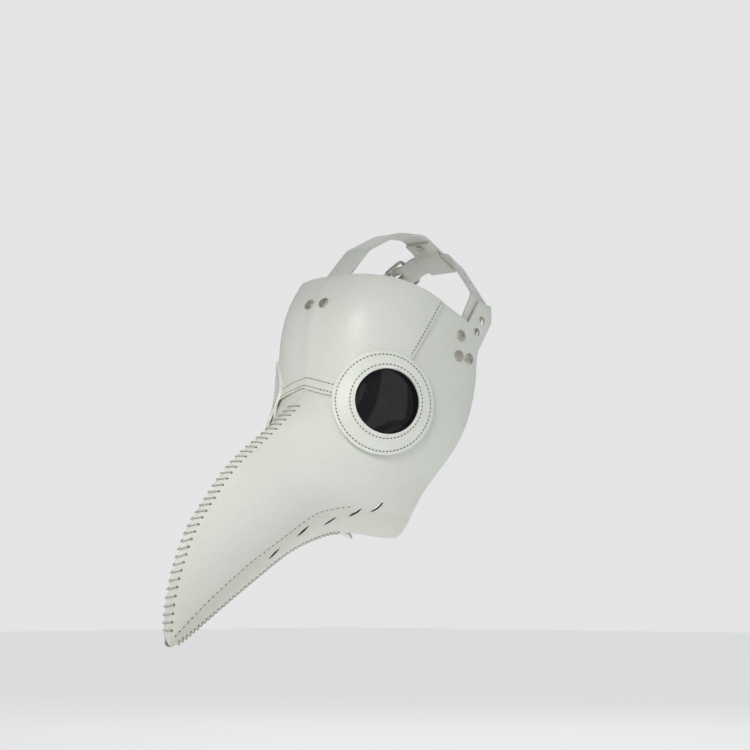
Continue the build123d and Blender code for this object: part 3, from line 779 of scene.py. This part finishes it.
class MASK_OT_machine_stitches(bpy.types.Operator):
    """Sews the rows on the rings, the brow band, the temple seams and the lower creases"""
    bl_idname = "mask.machine_stitches"
    bl_label = "Machine stitches"

    def execute(self, context):
        sewing = context.scene.mask_sewing
        pitch, radius = sewing.stitch_pitch, sewing.stitch_radius
        rng = random.Random(7)
        for name, side in SIDES:
            holes = bmesh.new()
            ring = surface_of(name + "_eye_ring")
            bm = bmesh.new()
            for reach, shift in RING_ROWS:
                sew(bm, holes, ring, eye_circle(ring, side, reach, shift), pitch, radius, rng)
            finish_piece(bm, name + "_ring_stitches", "mask", FINISH["stitch"])
            brow = surface_of("forehead_panel")
            bm = bmesh.new()
            for up in BAND_ROWS:
                sew(bm, holes, brow, band_chain(brow, side, up), pitch, radius, rng)
            inward = Vector((0, -TEMPLE_RUN.z, TEMPLE_RUN.y)) * TEMPLE_INSET
            rise = [(y + inward.y, z + inward.z) for y, z in (TEMPLE_FOOT, TEMPLE_TOP)]
            sew(bm, holes, brow, side_chain(brow, side, rise), pitch, radius, rng)
            finish_piece(bm, name + "_brow_stitches", "mask", FINISH["stitch"])
            panel = surface_of(name + "_side_panel")
            bm = bmesh.new()
            chain = side_chain(panel, side, CREASE[1:])
            sew(bm, holes, panel, chain, sewing.crease_pitch, radius * 1.1, rng, 0.45)
            finish_piece(bm, name + "_crease_stitches", "mask", FINISH["stitch"])
            # Dark discs of painted shade in the needle holes.
            finish_piece(holes, name + "_needle_hole_shade", "mask", FINISH["hole"], smooth=False)
        return {"FINISHED"}


class MASK_OT_lacing(bpy.types.Operator):
    """Laces the ridge and the underside with waxed thread, through punched holes shown as dark discs of painted
    shade
    """
    bl_idname = "mask.lacing"
    bl_label = "Lacing"

    def execute(self, context):
        radius = context.scene.mask_sewing.lace_radius
        panels = surface_of("left_side_panel", "right_side_panel")
        for node, name in (("ridge_lacing", "ridge_threads"), ("bottom_lacing", "underside_threads")):
            threads = bmesh.new()
            holes = bmesh.new()
            for hole, seam in lace_legs(node):
                near = panels.find_nearest(hole)
                normal = (hole - near[0]).normalized()
                foot = near[0] - normal * 0.6 * MM
                top = Vector((0, seam.y, seam.z))
                rest = hole.lerp(top, 0.25) - normal * 0.25 * MM
                over = hole.lerp(top, 0.72)
                path = [foot, near[0] + normal * 0.35 * MM, rest, over, top]
                path = path + [Vector((-p.x, p.y, p.z)) for p in reversed(path[:-1])]
                add_tube(threads, path, radius)
                for side in (1, -1):
                    place = Vector((near[0].x * side, near[0].y, near[0].z))
                    facing = Vector((normal.x * side, normal.y, normal.z))
                    # Each punched hole is a dark disc of painted shade on both panels.
                    flat = stand_frame(place + facing * 0.06 * MM, facing, Vector((0, 0.3, 1)))
                    bmesh.ops.create_cone(holes, cap_ends=True, cap_tris=False, segments=10,
                                          radius1=1.15 * MM, radius2=0.9 * MM, depth=0.16 * MM, matrix=flat)
            bmesh.ops.recalc_face_normals(threads, faces=threads.faces)
            finish_piece(threads, name, "mask", FINISH["lace"], [node])
            finish_piece(holes, name + "_hole_shade", "mask", FINISH["hole"], smooth=False)
        return {"FINISHED"}


class MASK_OT_rivets(bpy.types.Operator):
    """Finishes the rivets of the temples, forehead and harness"""
    bl_idname = "mask.rivets"
    bl_label = "Rivets"

    def execute(self, context):
        for node in ("left_temple_rivets", "right_temple_rivets", "forehead_rivets", "buckle_strap_rivet",
                     "crown_loop_rivet"):
            bm = closed_copy(node)
            soften_edges(bm, 0.4 * MM)
            finish_piece(bm, node + "_caps", "mask", FINISH["nickel"], [node])
        return {"FINISHED"}


class MASK_OT_harness(bpy.types.Operator):
    """Finishes the straps, the keeper and the buckle"""
    bl_idname = "mask.harness"
    bl_label = "Head harness"

    def execute(self, context):
        for node in ("left_strap", "right_strap", "crown_strap"):
            bm = closed_copy(node)
            soften_edges(bm, 0.35 * MM)
            finish_piece(bm, node + "_leather", "mask", FINISH["strap"], [node])
        bm = closed_copy("strap_keeper")
        soften_edges(bm, 0.3 * MM)
        finish_piece(bm, "strap_keeper_leather", "strap_keeper", FINISH["strap"],
                     ["strap_keeper"])
        for node, body in (("buckle_frame", "mask"), ("buckle_prong", "buckle_prong")):
            bm = closed_copy(node)
            finish_piece(bm, node + "_plated", body, FINISH["plate"], [node])
        return {"FINISHED"}


# ---------------------------------------------------------------- studio

def toward(azimuth, elevation):
    """The direction from the mask to a place round it, in degrees; azimuth 0 is the mask's front."""
    a, e = math.radians(azimuth), math.radians(elevation)
    return Vector((math.sin(a) * math.cos(e), -math.cos(a) * math.cos(e), math.sin(e)))


def soft_light(name, azimuth, elevation, distance, size, power, colour=(1, 1, 1), roll=0, spread=180,
               target=(0.02, 0.0, -0.05)):
    """A square soft box that faces the mask."""
    back = toward(azimuth, elevation)
    light = bpy.data.lights.new(name, "AREA")
    light.size = size
    light.spread = math.radians(spread)
    light.energy = power
    light.color = colour
    lamp = bpy.data.objects.new(name, light)
    lamp.location = Vector(target) + back * distance
    turned = (-back).to_track_quat("-Z", "Y").to_matrix() @ Matrix.Rotation(math.radians(roll), 3, "Z")
    lamp.rotation_euler = turned.to_euler()
    bpy.context.scene.collection.objects.link(lamp)


def add_floor():
    """A plain pale floor below the mask, which is worn and so stands clear of it."""
    bm = bmesh.new()
    bmesh.ops.create_grid(bm, x_segments=4, y_segments=4, size=9.0,
                          matrix=Matrix.Translation((0, 0, CAD_BOX[0][2] - FLOOR_GAP)))
    mesh = bpy.data.meshes.new("floor")
    bm.to_mesh(mesh)
    bm.free()
    material, tree, shader = start_material("pale_floor")
    where = tree.nodes.new("ShaderNodeTexCoord").outputs["Object"]
    tone = blend(tree, noise(tree, where, 3.0), (0.86, 0.86, 0.86, 1), (0.90, 0.90, 0.90, 1))
    tree.links.new(tone, shader.inputs["Base Color"])
    shader.inputs["Roughness"].default_value = 0.9
    tree.links.new(tone, shader.inputs["Emission Color"])
    shader.inputs["Emission Strength"].default_value = 0.46
    mesh.materials.append(material)
    floor = bpy.data.objects.new("floor", mesh)
    bpy.context.scene.collection.objects.link(floor)


def add_world():
    """Soft light from all round, with a paler backdrop behind the mask."""
    world = bpy.data.worlds.new("studio")
    world.use_nodes = True
    air = world.node_tree
    sky = air.nodes["Background"]
    sky.inputs["Color"].default_value = (0.95, 0.97, 1.0, 1)
    sky.inputs["Strength"].default_value = 0.36
    backdrop = air.nodes.new("ShaderNodeBackground")
    backdrop.inputs["Color"].default_value = (0.78, 0.78, 0.79, 1)
    seen = air.nodes.new("ShaderNodeLightPath")
    chosen = air.nodes.new("ShaderNodeMixShader")
    air.links.new(seen.outputs["Is Camera Ray"], chosen.inputs[0])
    air.links.new(sky.outputs[0], chosen.inputs[1])
    air.links.new(backdrop.outputs[0], chosen.inputs[2])
    air.links.new(chosen.outputs[0], air.nodes["World Output"].inputs["Surface"])
    bpy.context.scene.world = world


def add_camera():
    """A long lens in front of the mask and to its left, a little below its eyes."""
    camera = bpy.data.cameras.new("camera")
    camera.sensor_width = 36.0
    camera.lens = 113.3
    camera.shift_x = 0.0893
    camera.shift_y = 0.0173
    camera.clip_end = 50
    eye = bpy.data.objects.new("camera", camera)
    back = toward(CAMERA_AZIMUTH, CAMERA_ELEVATION)
    eye.location = back * CAMERA_DISTANCE
    eye.rotation_euler = (-back).to_track_quat("-Z", "Y").to_euler()
    bpy.context.scene.collection.objects.link(eye)
    bpy.context.scene.camera = eye


class MASK_OT_stage(bpy.types.Operator):
    """Sets the floor, the lights and the camera"""
    bl_idname = "mask.stage"
    bl_label = "Stage"

    def execute(self, context):
        add_floor()
        add_world()
        soft_light("key", 24, 34, 0.9, 0.35, 0.27, (1.0, 0.985, 0.95), spread=40, target=(0.01, -0.055, -0.085))
        soft_light("main", 36, 30, 1.8, 0.9, 1.45, (1.0, 0.99, 0.97))
        soft_light("fill", 90, 19.5, 2.0, 1.2, 3.0, (0.93, 0.97, 1.0), roll=-8)
        soft_light("low", 50, -24, 1.8, 0.7, 1.3, (1.0, 0.93, 0.86))
        soft_light("rear", 215, 35, 2.0, 1.0, 4)
        add_camera()
        context.scene.view_settings.view_transform = "Standard"
        return {"FINISHED"}


class MASK_PT_panel(bpy.types.Panel):
    """The mask's pieces, in the order they are made"""
    bl_idname = "MASK_PT_panel"
    bl_label = "Beaked mask"
    bl_space_type = "VIEW_3D"
    bl_region_type = "UI"
    bl_category = "Mask"

    def draw(self, context):
        layout = self.layout
        for group in (context.scene.mask_leather, context.scene.mask_sewing, context.scene.mask_metal):
            for name in group.bl_rna.properties.keys():
                if name not in ("rna_type", "name"):
                    layout.prop(group, name)
        for operator in STEPS:
            layout.operator(operator.bl_idname)


STEPS = (MASK_OT_finishes, MASK_OT_side_panels, MASK_OT_brow, MASK_OT_eye_rings, MASK_OT_vents,
         MASK_OT_machine_stitches, MASK_OT_lacing, MASK_OT_rivets, MASK_OT_harness, MASK_OT_stage)
CLASSES = (MaskLeather, MaskSewing, MaskMetal, *STEPS, MASK_PT_panel)


def register():
    for cls in CLASSES:
        bpy.utils.register_class(cls)
    bpy.types.Scene.mask_leather = bpy.props.PointerProperty(type=MaskLeather)
    bpy.types.Scene.mask_sewing = bpy.props.PointerProperty(type=MaskSewing)
    bpy.types.Scene.mask_metal = bpy.props.PointerProperty(type=MaskMetal)


def unregister():
    del bpy.types.Scene.mask_leather
    del bpy.types.Scene.mask_sewing
    del bpy.types.Scene.mask_metal
    for cls in reversed(CLASSES):
        bpy.utils.unregister_class(cls)


def main():
    register()
    for name in ("finishes", "side_panels", "brow", "eye_rings", "vents", "machine_stitches", "lacing",
                 "rivets", "harness", "stage"):
        getattr(bpy.ops.mask, name)()


if __name__ == "__main__":
    main()
